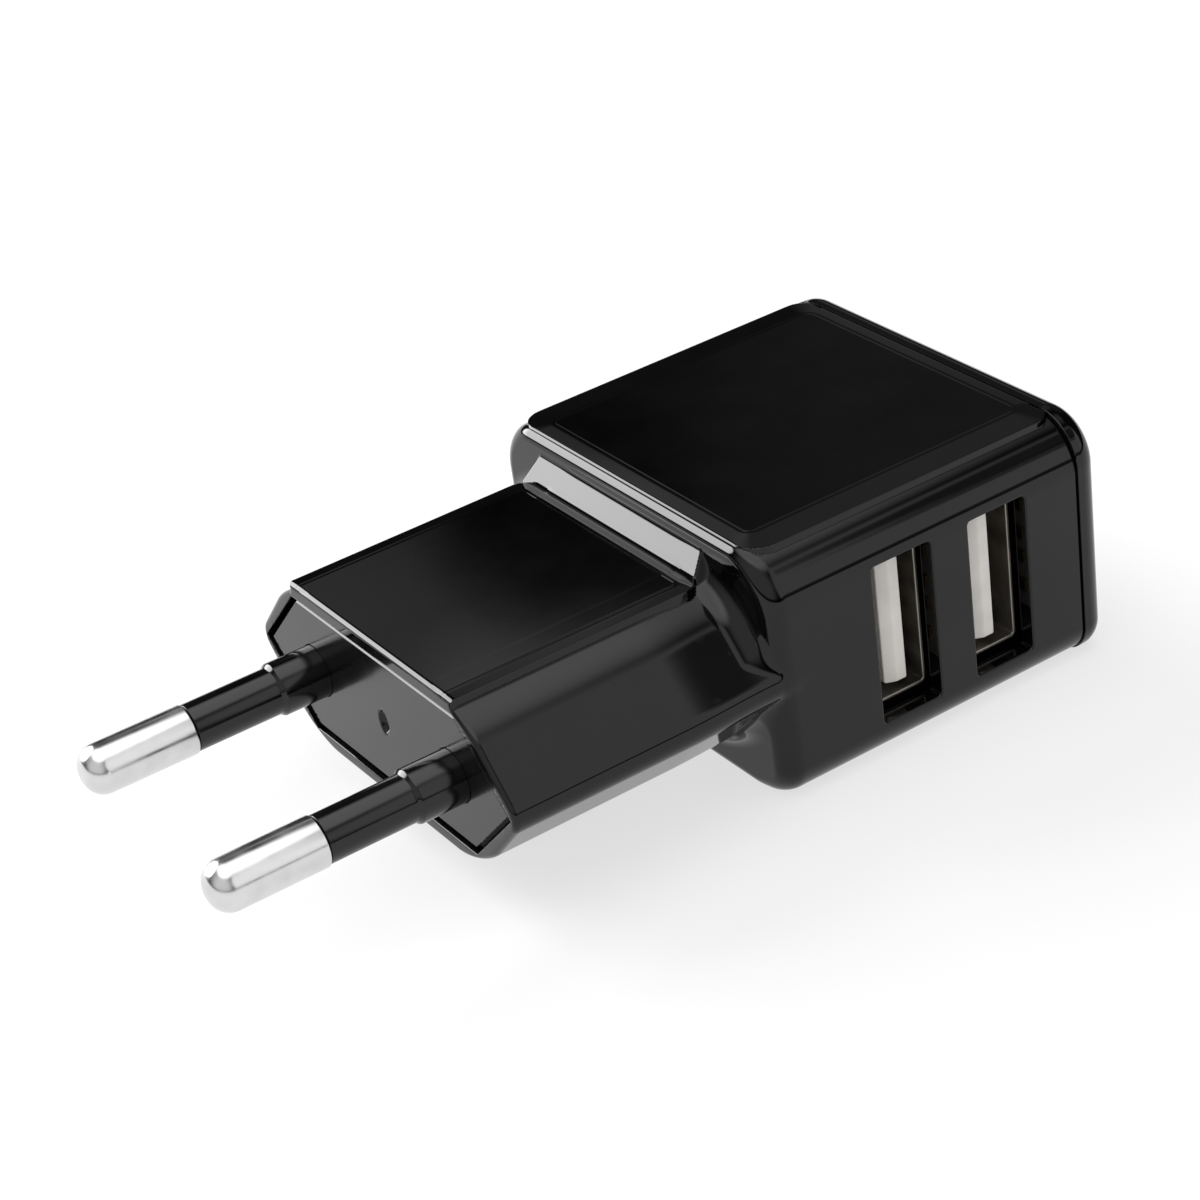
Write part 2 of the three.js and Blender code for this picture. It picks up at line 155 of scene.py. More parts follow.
def contour(field, axes):
    """Dual contouring of field on a grid: points, quads and one normal for each quad corner."""
    value = field(*np.meshgrid(*axes, indexing="ij"))
    inside = value < 0
    full = inside.astype(np.int8)
    for k in range(3):
        full = np.take(full, range(full.shape[k] - 1), k) + np.take(full, range(1, full.shape[k]), k)
    active = (full > 0) & (full < 8)
    index = np.full(active.shape, -1)
    index[active] = np.arange(active.sum())
    cells = np.argwhere(active)
    n = len(cells)
    hits = np.zeros(n)
    mass = np.zeros((n, 3))
    ata = np.zeros((n, 9))
    atb = np.zeros((n, 3))
    quads = []
    for k in range(3):
        lo = [slice(None)] * 3
        hi = [slice(None)] * 3
        lo[k] = slice(None, -1)
        hi[k] = slice(1, None)
        crossing = np.argwhere(inside[tuple(lo)] != inside[tuple(hi)])
        start = np.stack([axes[j][crossing[:, j]] for j in range(3)], 1)
        reach = axes[k][crossing[:, k] + 1] - axes[k][crossing[:, k]]
        beyond = crossing.copy()
        beyond[:, k] += 1
        fa, fb = value[tuple(crossing.T)], value[tuple(beyond.T)]
        ta, tb = np.zeros(len(fa)), np.ones(len(fa))
        for _ in range(4):
            t = ta + (tb - ta) * fa / (fa - fb + 1e-300)
            point = start.copy()
            point[:, k] += t * reach
            ft = field(*point.T)
            same = (ft < 0) == (fa < 0)
            ta, fa = np.where(same, t, ta), np.where(same, ft, fa)
            tb, fb = np.where(same, tb, t), np.where(same, fb, ft)
        normal = gradient(field, point)
        u, v = [j for j in range(3) if j != k]
        around = []
        for du, dv in ((-1, -1), (0, -1), (0, 0), (-1, 0)):
            cell = crossing.copy()
            cell[:, u] += du
            cell[:, v] += dv
            around.append(index[tuple(cell.T)])
        outer = (normal[:, :, None] * normal[:, None, :]).reshape(-1, 9)
        along = normal * (normal * point).sum(1, keepdims=True)
        for ids in around:
            hits += np.bincount(ids, minlength=n)
            for j in range(3):
                mass[:, j] += np.bincount(ids, point[:, j], n)
                atb[:, j] += np.bincount(ids, along[:, j], n)
            for j in range(9):
                ata[:, j] += np.bincount(ids, outer[:, j], n)
        quad = np.stack(around, 1)
        flip = inside[tuple(crossing.T)] == (k == 1)
        quad[flip] = quad[flip][:, ::-1]
        quads.append(quad)
    quads = np.concatenate(quads)
    mass /= hits[:, None]
    ata = ata.reshape(-1, 3, 3)
    pull = PULL_TO_MIDDLE * hits[:, None, None] * np.eye(3)
    right_side = atb - np.einsum("nij,nj->ni", ata, mass)
    points = mass + np.linalg.solve(ata + pull, right_side[:, :, None])[:, :, 0]
    low = np.stack([axes[j][cells[:, j]] for j in range(3)], 1)
    high = np.stack([axes[j][cells[:, j] + 1] for j in range(3)], 1)
    points = np.clip(points, low, high)
    for _ in range(2):
        slope = gradient(field, points)
        points = np.clip(points - slope * field(*points.T)[:, None] * STEP_BACK, low, high)
    smooth_normal = gradient(field, points)
    centre = points[quads].mean(1)
    corner_points = points[quads]
    across = np.cross(corner_points[:, 2] - corner_points[:, 0], corner_points[:, 3] - corner_points[:, 1])
    across /= np.maximum(np.linalg.norm(across, axis=1, keepdims=True), 1e-12)
    normals = smooth_normal[quads]
    sharp = (normals * across[:, None, :]).sum(2) < SHARP_CORNER
    nudged = (corner_points * (1 - NUDGE) + centre[:, None, :] * NUDGE)[sharp]
    if len(nudged):
        normals[sharp] = gradient(field, nudged)
    return points, quads, normals


def make_mesh(name, points, faces, normals=None):
    """An object from points in millimetres; faces is an array of quads or a list of polygons."""
    mesh = bpy.data.meshes.new(name)
    points = np.asarray(points, float) * MM
    sizes = np.array([len(f) for f in faces])
    flat = faces.ravel() if isinstance(faces, np.ndarray) else np.concatenate(faces)
    mesh.vertices.add(len(points))
    mesh.vertices.foreach_set("co", points.astype(np.float32).ravel())
    mesh.loops.add(len(flat))
    mesh.loops.foreach_set("vertex_index", flat.astype(np.int32))
    mesh.polygons.add(len(sizes))
    starts = np.concatenate([[0], np.cumsum(sizes)[:-1]])
    mesh.polygons.foreach_set("loop_start", starts.astype(np.int32))
    mesh.polygons.foreach_set("use_smooth", np.ones(len(sizes), bool))
    mesh.update(calc_edges=True)
    mesh.validate()
    if normals is not None:
        mesh.normals_split_custom_set(normals.reshape(-1, 3).tolist())
    obj = bpy.data.objects.new(name, mesh)
    bpy.context.scene.collection.objects.link(obj)
    return obj


# ---------------------------------------------------------------- driving dimensions

housing_low, housing_high = box_mm("housing")
cap_low, cap_high = box_mm("end_cap")
plate_low, plate_high = box_mm("plug_plate")

TOP = housing_high[2]                  # top of the raised panel
BOTTOM = housing_low[2]
PANEL_RISE = 0.15
BODY_TOP = TOP - PANEL_RISE
CAP_PROUD = 0.15
CAP_TOP_ROUND = 3.9
HALF = cap_high[0] - CAP_PROUD       # half width of the body
FRONT = 22.6                         # body's front face
REAR = housing_high[1]
TOP_ROUND = 4.4
BOTTOM_ROUND = 2.7
FRONT_ROUND = 0.85                   # where the front meets the top and the underside
CORNER_ROUND = 1.7                   # where the front meets the sides
CORNER_SPAN = (13.0, 16.6)           # |x| over which the one round becomes the other

RIDGE = 18.35                        # half width of the plug to its side ridge, before rounding
RIDGE_AT_BODY = 18.05                # the same where it meets the body
FLAT = 11.8                          # half width of the plug's flat top, before rounding
PLUG_HALF = 7.0
PULL_FROM = 15.0                     # the plug narrows between here and the body
FACET = np.array([PLUG_HALF, RIDGE - FLAT]) / math.hypot(PLUG_HALF, RIDGE - FLAT)
NECK_ROUND = 1.9                     # fillet between plug and body
NECK_FADE = 1.5                      # how far in from the side it reaches its full size
SIDE_NECK_ROUND = 0.2                # fillet of the neck where the ridge runs out on the side of the body
RIM_ROUND = 0.45
RUN_OUT = 0.15                       # how fast the ridge sinks into the side of the body, per millimetre,
RUN_OUT_FROM = 1.0                   # from this far behind the front
RIDGE_BLEND = 0.4


def plug_section(x, y, z, inset=0.0, edge=2.6, ridge=1.6):
    """The plug's six-sided section, a little narrower towards the body."""
    pull = (RIDGE - RIDGE_AT_BODY) * smooth(y, PULL_FROM, FRONT)
    wide = np.abs(x) + pull
    reach = FACET[0] * RIDGE - inset
    upper = FACET[0] * wide + FACET[1] * z - reach
    lower = FACET[0] * wide - FACET[1] * z - reach
    side = cut(upper, lower, ridge)
    return cut(cut(side, z - PLUG_HALF + inset, edge), -z - PLUG_HALF + inset, edge)


def body_section(x, z, grow=0.0, top_round=TOP_ROUND, bottom_round=BOTTOM_ROUND):
    side = np.abs(x) - HALF - grow
    above = z - BODY_TOP - grow
    below = BOTTOM - z - grow
    return cut(cut(side, above, top_round + grow), below, bottom_round + grow)


# A raised glossy panel: a flat field, a fine groove, and a border strip that falls gently away.
STRIP_FALL = math.tan(math.radians(3.0))
GROOVE_DEPTH = 0.012
GROOVE_HALF = 0.12
PANEL_EDGE = 0.05
PLUG_PANEL_RISE = 0.05
BODY_PANEL = {"outer": (15.1, 23.3, 51.6, 2.0), "field": (12.65, 24.75, 50.05, 0.8)}
PLUG_PANEL = {"outer": (11.45, -3.0, 21.3, 1.5), "field": (10.25, -6.0, 20.0, 0.6)}


def outline(x, y, spec):
    """Distance out from a rounded rectangle given as (half width, front, rear, corner radius)."""
    half, front, rear, r = spec
    return rounded(x, y - (front + rear) / 2, half, (rear - front) / 2, r)


def panel(x, y, z, spec, top):
    edge = outline(x, y, spec["outer"])
    beyond = outline(x, y, spec["field"])
    height = top - STRIP_FALL * np.maximum(beyond, 0)
    height = height - GROOVE_DEPTH * np.exp(-(beyond / GROOVE_HALF) ** 2)
    return np.maximum(cut(edge, z - height, PANEL_EDGE), -z)


RAMP_FOOT = 21.35                    # where the ramp starts on the plug
RAMP_TOP = 8.6
RAMP_HALF = 11.1
RAMP_MIDDLE = -0.7
RAMP_RUN = np.array([RAMP_TOP - PLUG_HALF, FRONT - RAMP_FOOT])
RAMP_RUN /= np.linalg.norm(RAMP_RUN)
RAMP_END = (0.766, -0.335, 0.549)    # the way its end facet faces, on the +X side
RAMP_ROOT = 0.6                      # how far it reaches into the body
RAMP_SUNK = 0.4                      # how far it reaches into the plug
RAMP_EDGE = 0.1


def ramp(x, y, z):
    out, ahead, up = np.abs(x - RAMP_MIDDLE) - RAMP_HALF, y - RAMP_FOOT, z - PLUG_HALF
    slope = -RAMP_RUN[0] * ahead + RAMP_RUN[1] * up
    end = RAMP_END[0] * out + RAMP_END[1] * ahead + RAMP_END[2] * up
    block = np.maximum(y - FRONT - RAMP_ROOT, PLUG_HALF - RAMP_SUNK - z)
    return np.maximum(cut(slope, end, RAMP_EDGE), block)


shells = {name: box_mm(f"usb_shell_{name}") for name in ("front", "rear")}
WINDOW_SHIFT = {"front": 0.05, "rear": 0.15}
WINDOW_HALF = 2.725
WINDOW_LOW, WINDOW_HIGH = -7.1, 6.1
windows = {name: (low[1] + high[1]) / 2 + WINDOW_SHIFT[name] for name, (low, high) in shells.items()}
SHELL_FRONT = shells["front"][1][0]
SHELL_GAP = 0.12
WELL_BACK = box_mm("main_board")[1][0] + SHELL_GAP    # the wells round the sockets stop short of the board
WELL_MARGIN = 0.6                    # how far a well reaches past its window
WELL_FACE = 0.25                     # how far it stops behind the front of the socket
WELL_ROUND = 0.6
WINDOW_ROUND = 0.35
WINDOW_EDGE = 0.16
SHELL_ROUND = 0.5

PLUG_WALL = 1.75
BODY_WALL = 1.5
FRONT_WALL = 1.5
PLATE_FLAT = 11.23                   # half width of the plug plate's flat top
PLATE_RIDGE = 0.08                   # how far its ridge would reach past its box if it were sharp
SEAT_GAP = 0.2                       # round the plug plate
SEAT_BEHIND = 0.15
SEAT_EDGE = 0.05
SEAM_ROUND = 0.04
ROOM_START = 1.0                     # where the hollow in the plug begins, behind its rim
PLUG_PANEL_FILLET = 0.06
BODY_PANEL_FILLET = 0.04
RAMP_FILLET = 0.12


def neck(x, y, z):
    """The plug running into the body, with a fillet that dies away at the side ridge."""
    wide = np.abs(x)
    front_round = FRONT_ROUND + (CORNER_ROUND - FRONT_ROUND) * smooth(wide, *CORNER_SPAN)
    body = cut(body_section(x, z), FRONT - y, front_round)
    raised = panel(x, y, z, PLUG_PANEL, PLUG_HALF + PLUG_PANEL_RISE)
    plug = cut(join(plug_section(x, y, z), raised, PLUG_PANEL_FILLET), -y, RIM_ROUND)
    plug = plug + RUN_OUT * np.maximum(y - FRONT - RUN_OUT_FROM, 0)
    fillet = SIDE_NECK_ROUND + (NECK_ROUND - SIDE_NECK_ROUND) * smooth(HALF - wide, 0.0, NECK_FADE)
    return np.minimum(join(plug, body, fillet), blend(plug, body, RIDGE_BLEND))


def rooms(x, y, z):
    """The hollow inside the plug and the body."""
    plug_room = np.maximum(plug_section(x, 0 * y, z, PLUG_WALL), ROOM_START - y)
    plug_room = np.maximum(plug_room, y - FRONT - 2 * FRONT_WALL)
    body_room = np.maximum(body_section(x, z, -BODY_WALL), FRONT + FRONT_WALL - y)
    return np.minimum(plug_room, body_room)


def around_window(x, y, z, name):
    """The thick wall round a socket, and the window through it."""
    middle, half_z = (WINDOW_LOW + WINDOW_HIGH) / 2, (WINDOW_HIGH - WINDOW_LOW) / 2
    low, high = shells[name]
    off_y, off_z = y - windows[name], z - middle
    beside = rounded(y - (low[1] + high[1]) / 2, z - (low[2] + high[2]) / 2,
                     (high[1] - low[1]) / 2 + SHELL_GAP, (high[2] - low[2]) / 2 + SHELL_GAP, SHELL_ROUND)
    well = rounded(off_y, off_z, WINDOW_HALF + WELL_MARGIN, half_z + WELL_MARGIN, WELL_ROUND)
    well = np.maximum(np.maximum(well, -beside), np.maximum(x - SHELL_FRONT + WELL_FACE, WELL_BACK - x))
    hole = np.maximum(rounded(off_y, off_z, WINDOW_HALF, half_z, WINDOW_ROUND), SHELL_FRONT - x)
    return well, hole


def plate_outline(x, z, inset):
    """The plate's six-sided outline."""
    wide, high = plate_high[0] + PLATE_RIDGE, plate_high[2]
    nx, nz = high, wide - PLATE_FLAT
    length = math.hypot(nx, nz)
    side = (nx * np.abs(x) + nz * np.abs(z) - nx * wide) / length + inset
    return np.maximum(side, np.abs(z) - high + inset)


def housing_field(x, y, z):
    shape = join(neck(x, y, z), ramp(x, y, z), RAMP_FILLET)
    shape = join(shape, panel(x, y, z, BODY_PANEL, TOP), BODY_PANEL_FILLET)
    shape = cut(shape, y - REAR, SEAM_ROUND)
    seat = np.maximum(plate_outline(x, z, -SEAT_GAP), y - plate_high[1] - SEAT_BEHIND)
    shape = cut(shape, -seat, SEAT_EDGE)
    shape = np.maximum(shape, -rooms(x, y, z))
    for name in windows:
        well, hole = around_window(x, y, z, name)
        shape = cut(np.minimum(shape, well), -hole, WINDOW_EDGE)
    return shape


OFF_FACE = 0.0113                    # keeps grid planes off the flat faces

# Each span is (from, to, step), fine where an edge, a groove or a window runs across the grid.
X_HALF = ticks((0, 8.0, 1.0), (8.0, 10.8, 0.09), (10.8, 12.1, 0.1), (12.1, 12.7, 0.07),
               (12.7, 14.6, 0.2), (14.6, 15.2, 0.1), (15.2, 18.0, 0.13), (18.0, 18.6, 0.3))
X_AXIS = np.concatenate([-X_HALF[:0:-1], X_HALF]) + OFF_FACE
Y_AXIS = ticks((-0.4, 0.9, 0.09), (0.9, 3.0, 0.35), (3.0, 3.5, 0.12), (3.5, 15.0, 1.0),
               (15.0, 18.0, 0.4), (18.0, 18.8, 0.09), (18.8, 20.4, 0.2), (20.4, 25.2, 0.1),
               (25.2, 26.4, 0.09), (26.4, 31.3, 0.6), (31.3, 32.2, 0.09), (32.2, 36.8, 0.4),
               (36.8, 37.6, 0.09), (37.6, 40.3, 0.4), (40.3, 41.2, 0.09), (41.2, 45.8, 0.4),
               (45.8, 46.6, 0.09), (46.6, 48.6, 0.4), (48.6, 51.5, 0.1)) + OFF_FACE
Z_AXIS = ticks((-10.6, -6.6, 0.14), (-6.6, -5.4, 0.12), (-5.4, -0.9, 0.3), (-0.9, 0.9, 0.15),
               (0.9, 5.4, 0.3), (5.4, 6.8, 0.09), (6.8, 9.5, 0.12), (9.5, 10.3, 0.06)) + OFF_FACE

housing = make_mesh("housing_moulding", *contour(housing_field, (X_AXIS, Y_AXIS, Z_AXIS)))

# ---------------------------------------------------------------- end cap

CAP_ROUND = 1.75
SEAM = 0.04
SKIRT_GAP = 1.65                     # the cap's skirt inside the body
SKIRT_THICK = 1.1
SKIRT_ROOT = 0.2
ROOM_DEPTH = 0.3                     # of the hollow in the cap, behind the seam


def cap_field(x, y, z):
    shape = cut(body_section(x, z, CAP_PROUD, CAP_TOP_ROUND), y - cap_high[1], CAP_ROUND)
    shape = np.maximum(shape, BOTTOM - z)
    front = REAR + SEAM
    shape = cut(shape, front - y, SEAM_ROUND)
    skirt = np.maximum(body_section(x, z, -SKIRT_GAP), cap_low[1] - y)
    room = np.maximum(body_section(x, z, -SKIRT_GAP - SKIRT_THICK), y - front - ROOM_DEPTH)
    shape = np.minimum(shape, np.maximum(skirt, y - front - SKIRT_ROOT))
    return np.maximum(shape, -room)


CAP_X = ticks((0, 12.0, 1.0), (12.0, 18.0, 0.15))
CAP_X = np.concatenate([-CAP_X[:0:-1], CAP_X]) + OFF_FACE
CAP_Y = ticks((48.5, 49.3, 0.3), (49.3, 51.1, 0.6), (51.1, 53.8, 0.09)) + OFF_FACE
CAP_Z = ticks((-10.6, -5.0, 0.15), (-5.0, 5.0, 1.0), (5.0, 10.4, 0.15)) + OFF_FACE
end_cap = make_mesh("end_cap_moulding", *contour(cap_field, (CAP_X, CAP_Y, CAP_Z)))

# ---------------------------------------------------------------- plug plate

pins = {name: box_mm(f"pin_{name}") for name in ("left", "right")}
sleeves = {name: box_mm(f"pin_sleeve_{name}") for name in ("left", "right")}
PIN_X = {name: (low[0] + high[0]) / 2 for name, (low, high) in pins.items()}
HOLE = (sleeves["left"][1][0] - sleeves["left"][0][0]) / 2 + 0.06
TAIL_HOLE = 1.35                     # where a pin's tail passes through the back of the plate
PIT = (0.62, 0.55, 1.0)              # half sizes of the pit in the middle
PIT_Z = -0.1
PIT_EDGE = 0.12
PLATE_CHAMFER = 0.3
PLATE_BACK = 0.5                     # thickness left behind the sleeves


def plate_field(x, y, z):
    front, back = plate_low[1], plate_high[1]
    face = front - y
    edge = plate_outline(x, z, 0)
    shape = np.maximum(np.maximum(edge, face), y - back)
    shape = np.maximum(shape, (edge + face + PLATE_CHAMFER) / math.sqrt(2))
    off_pit = np.sqrt((x / PIT[0]) ** 2 + ((z - PIT_Z) / PIT[2]) ** 2 + ((y - front) / PIT[1]) ** 2)
    pit = (off_pit - 1) * PIT[1]
    shape = cut(shape, -pit, PIT_EDGE)
    for place in PIN_X.values():
        off = np.hypot(x - place, z)
        shape = np.maximum(shape, -np.maximum(off - HOLE, y - back + PLATE_BACK))
        shape = np.maximum(shape, -(off - TAIL_HOLE))
    return shape


PLATE_X = ticks((-17.4, -12.5, 0.16), (-12.5, -6.8, 0.14), (-6.8, -1.1, 0.5), (-1.1, 1.1, 0.08),
                (1.1, 6.8, 0.5), (6.8, 12.5, 0.14), (12.5, 17.4, 0.16)) + OFF_FACE
PLATE_Y = ticks((-0.1, 0.8, 0.08), (0.8, 2.4, 0.5), (2.4, 3.3, 0.2)) + OFF_FACE
PLATE_Z = ticks((-5.9, -5.0, 0.09), (-5.0, -2.6, 0.2), (-2.6, 2.6, 0.12), (2.6, 5.0, 0.2),
                (5.0, 5.9, 0.09)) + OFF_FACE
plate = make_mesh("plug_plate_moulding", *contour(plate_field, (PLATE_X, PLATE_Y, PLATE_Z)))

# ---------------------------------------------------------------- pins


def lathe(name, profile, x, sides=96):
    """A solid of revolution about a line along Y; the profile is (radius, y) pairs from end to end."""
    angle = np.arange(sides) * 2 * math.pi / sides
    points, rings = [], []
    for radius, y in profile:
        if radius < 1e-6:
            rings.append([len(points)])
            points.append((x, y, 0))
        else:
            rings.append(list(range(len(points), len(points) + sides)))
            points.extend((x + radius * math.cos(a), y, radius * math.sin(a)) for a in angle)
    faces = []
    for a, b in zip(rings, rings[1:]):
        for i in range(sides):
            j = (i + 1) % sides
            if len(a) == 1:
                faces.append([a[0], b[i], b[j]])
            elif len(b) == 1:
                faces.append([a[i], b[0], a[j]])
            else:
                faces.append([a[i], b[i], b[j], a[j]])
    return make_mesh(name, points, faces)


def arc(radius, y, r, start, stop, steps=8):
    """Points on a round edge about (radius, y): 0 degrees points along the radius and 90 along +Y."""
    out = []
    for i in range(steps + 1):
        a = math.radians(start + (stop - start) * i / steps)
        out.append((radius + r * math.cos(a), y + r * math.sin(a)))
    return out


def sharpen(obj):
    """Shade smoothly except across edges of more than 35 degrees."""
    bpy.context.view_layer.objects.active = obj
    obj.select_set(True)
    bpy.ops.object.shade_smooth_by_angle(angle=math.radians(35))
    obj.select_set(False)
    return obj


NOSE_FLAT = 0.35                     # radius of the flat at a pin's tip
METAL_EDGE = 0.12
TAIL_RADIUS = 1.2
BORE = 1.3                           # inside radius of a sleeve
THIN = 1.83                          # its outside radius ahead of the collar
COLLAR_START, COLLAR_LENGTH, COLLAR_STEPS = -3.85, 0.45, 9
SLEEVE_EDGE = 0.06


def pin(name):
    low, high = pins[name]
    radius = (high[0] - low[0]) / 2
    tip, metal_end, tail = low[1], sleeves[name][0][1] - 0.1, high[1]
    nose = [(0, tip)] + arc(NOSE_FLAT, tip + radius - NOSE_FLAT, radius - NOSE_FLAT, -90, 0, 16)
    shaft = arc(radius - METAL_EDGE, metal_end - METAL_EDGE, METAL_EDGE, 0, 90, 5)
    profile = nose + shaft + [(TAIL_RADIUS, metal_end), (TAIL_RADIUS, tail), (0, tail)]
    return sharpen(lathe(f"pin_{name}_turned", profile, PIN_X[name]))


def pin_sleeve(name):
    low, high = sleeves[name]
    start, stop = low[1], high[1]
    thick = (high[0] - low[0]) / 2
    profile = [(BORE, start)] + arc(THIN - SLEEVE_EDGE, start + SLEEVE_EDGE, SLEEVE_EDGE, -90, 0, 3)
    for t in np.linspace(0, 1, COLLAR_STEPS):
        radius = THIN + (thick - THIN) * float(smooth(t, 0, 1))
        profile.append((radius, COLLAR_START + COLLAR_LENGTH * t))
    profile += [(thick, stop), (BORE, stop), (BORE, start)]
    return sharpen(lathe(f"pin_sleeve_{name}_moulded", profile, PIN_X[name]))


pieces = {}
for name in pins:
    pieces[f"pin_{name}"] = pin(name)
    pieces[f"pin_sleeve_{name}"] = pin_sleeve(name)

# ---------------------------------------------------------------- USB sockets

WALL = 0.3
MARGIN = 0.2                         # how far a grid reaches past its piece


def socket(name):
    low, high = shells[name]
    centre = (low + high) / 2
    half = (high - low) / 2

    def field(x, y, z):
        outline = rounded(y - centre[1], z - centre[2], half[1], half[2], 0.5)
        outer = cut(cut(outline, x - high[0], 0.1), low[0] - x, 0.1)
        inner = np.maximum(outline + WALL, low[0] + WALL - x)
        return cut(outer, -inner, 0.08)

    def axis(k, fine, coarse):
        first, last = low[k] + 0.6, high[k] - 0.6
        return ticks((low[k] - MARGIN, first, fine), (first, last, coarse), (last, high[k] + MARGIN, fine))

    x_axis = ticks((low[0] - MARGIN, low[0] + 0.6, 0.1), (low[0] + 0.6, high[0] - 0.5, 1.0),
                   (high[0] - 0.5, high[0] + MARGIN, 0.06))
    axes = [grid + OFF_FACE for grid in (x_axis, axis(1, 0.07, 0.4), axis(2, 0.07, 0.8))]
    return make_mesh(f"usb_shell_{name}_pressed", *contour(field, axes))


TONGUE_THICK = 1.8
TONGUE_BEVEL = np.array([0.9, 0.45])  # across and along, at its front edge
TONGUE_SHIFT = {"front": 0.15, "rear": -0.3}
TONGUE_Z = (-5.6, 5.5)
TONGUE_BASE = 2.6                    # depth of the block that holds the tongue


def tongue(name):
    low, high = box_mm(f"usb_tongue_{name}")
    y0 = windows[name] + TONGUE_SHIFT[name] - TONGUE_THICK / 2
    y1 = y0 + TONGUE_THICK
    z0, z1 = TONGUE_Z
    base = low[0] + TONGUE_BASE

    def field(x, y, z):
        bar = cut(cut(y - y1, y0 - y, 0.05), np.maximum(z - z1, z0 - z), 0.15)
        bar = cut(bar, x - high[0], 0.1)
        slope = TONGUE_BEVEL / np.linalg.norm(TONGUE_BEVEL)
        bevel = slope[0] * (x - high[0]) - slope[1] * (y - y0 - TONGUE_BEVEL[0])
        bar = cut(bar, bevel, 0.06)
        across = np.abs(y - (low[1] + high[1]) / 2) - (high[1] - low[1]) / 2
        upright = np.abs(z - (low[2] + high[2]) / 2) - (high[2] - low[2]) / 2
        block = cut(cut(across, upright, 0.2), x - base, 0.1)
        return np.maximum(np.minimum(bar, block), low[0] - x)

    x_axis = ticks((low[0] - MARGIN, low[0] + 0.2, 0.2), (low[0] + 0.2, base - 0.3, 0.8),
                   (base - 0.3, base + 0.2, 0.1), (base + 0.2, high[0] - 1.0, 0.8),
                   (high[0] - 1.0, high[0] + MARGIN, 0.06))
    y_axis = ticks((low[1] - MARGIN, low[1] + 0.3, 0.1), (low[1] + 0.3, y0 - 0.2, 0.4),
                   (y0 - 0.2, y1 + 0.2, 0.06), (y1 + 0.2, high[1] - 0.3, 0.4),
                   (high[1] - 0.3, high[1] + MARGIN, 0.1))
    z_axis = ticks((low[2] - MARGIN, low[2] + 0.3, 0.1), (low[2] + 0.3, z0 - 0.3, 0.4),
                   (z0 - 0.3, z0 + 0.4, 0.07), (z0 + 0.4, z1 - 0.4, 0.8), (z1 - 0.4, z1 + 0.3, 0.07),
                   (z1 + 0.3, high[2] - 0.3, 0.4), (high[2] - 0.3, high[2] + MARGIN, 0.1))
    axes = [grid + OFF_FACE for grid in (x_axis, y_axis, z_axis)]
    return make_mesh(f"usb_tongue_{name}_moulded", *contour(field, axes))


for name in ("front", "rear"):
    pieces[f"usb_shell_{name}"] = socket(name)
    pieces[f"usb_tongue_{name}"] = tongue(name)
pieces["housing"] = housing
pieces["end_cap"] = end_cap
pieces["plug_plate"] = plate

# ---------------------------------------------------------------- materials

DRIFT = (0.3, 0.7)                   # the part of the noise that is spread over a material's two values
EDGE = (0.52, 0.62)                  # pointiness of an edge where wear begins and where it is full


def material(name, dark, light, scale, roughness, metallic=0.0, bump=0.0, bump_scale=None, wear=0.0,
             **fixed):
    """A Principled material with drifting colour and roughness, a fine bump, and wear on its edges."""
    mat = bpy.data.materials.new(name)
    mat.use_nodes = True
    nodes, links = mat.node_tree.nodes, mat.node_tree.links
    shader = nodes["Principled BSDF"]
    where = nodes.new("ShaderNodeTexCoord")
    noise = nodes.new("ShaderNodeTexNoise")
    noise.inputs["Scale"].default_value = scale
    noise.inputs["Detail"].default_value = 4.0
    links.new(where.outputs["Object"], noise.inputs["Vector"])
    tint = nodes.new("ShaderNodeValToRGB")
    for stop, position, colour in zip(tint.color_ramp.elements, DRIFT, (dark, light)):
        stop.position = position
        stop.color = (*colour, 1)
    links.new(noise.outputs["Fac"], tint.inputs["Fac"])
    links.new(tint.outputs["Color"], shader.inputs["Base Color"])
    spread = nodes.new("ShaderNodeMapRange")
    spread.inputs["From Min"].default_value = DRIFT[0]
    spread.inputs["From Max"].default_value = DRIFT[1]
    spread.inputs["To Min"].default_value = roughness[0]
    spread.inputs["To Max"].default_value = roughness[1]
    links.new(noise.outputs["Fac"], spread.inputs["Value"])
    links.new(spread.outputs["Result"], shader.inputs["Roughness"])
    if bump:
        grain = nodes.new("ShaderNodeTexNoise")
        grain.inputs["Scale"].default_value = bump_scale
        grain.inputs["Detail"].default_value = 2.0
        links.new(where.outputs["Object"], grain.inputs["Vector"])
        lift = nodes.new("ShaderNodeBump")
        lift.inputs["Strength"].default_value = 1.0
        lift.inputs["Distance"].default_value = bump
        links.new(grain.outputs["Fac"], lift.inputs["Height"])
        links.new(lift.outputs["Normal"], shader.inputs["Normal"])
    if wear:
        shape = nodes.new("ShaderNodeNewGeometry")
        rubbed = nodes.new("ShaderNodeMapRange")
        rubbed.inputs["From Min"].default_value = EDGE[0]
        rubbed.inputs["From Max"].default_value = EDGE[1]
        rubbed.inputs["To Max"].default_value = wear
        links.new(shape.outputs["Pointiness"], rubbed.inputs["Value"])
        patchy = nodes.new("ShaderNodeMath")
        patchy.operation = "MULTIPLY"
        links.new(rubbed.outputs["Result"], patchy.inputs[0])
        links.new(noise.outputs["Fac"], patchy.inputs[1])
        duller = nodes.new("ShaderNodeMath")
        links.new(spread.outputs["Result"], duller.inputs[0])
        links.new(patchy.outputs["Value"], duller.inputs[1])
        links.new(duller.outputs["Value"], shader.inputs["Roughness"])
    shader.inputs["Metallic"].default_value = metallic
    for socket_name, value in fixed.items():
        shader.inputs[socket_name].default_value = value
    return mat


def grey(v):
    return (v, v, v)


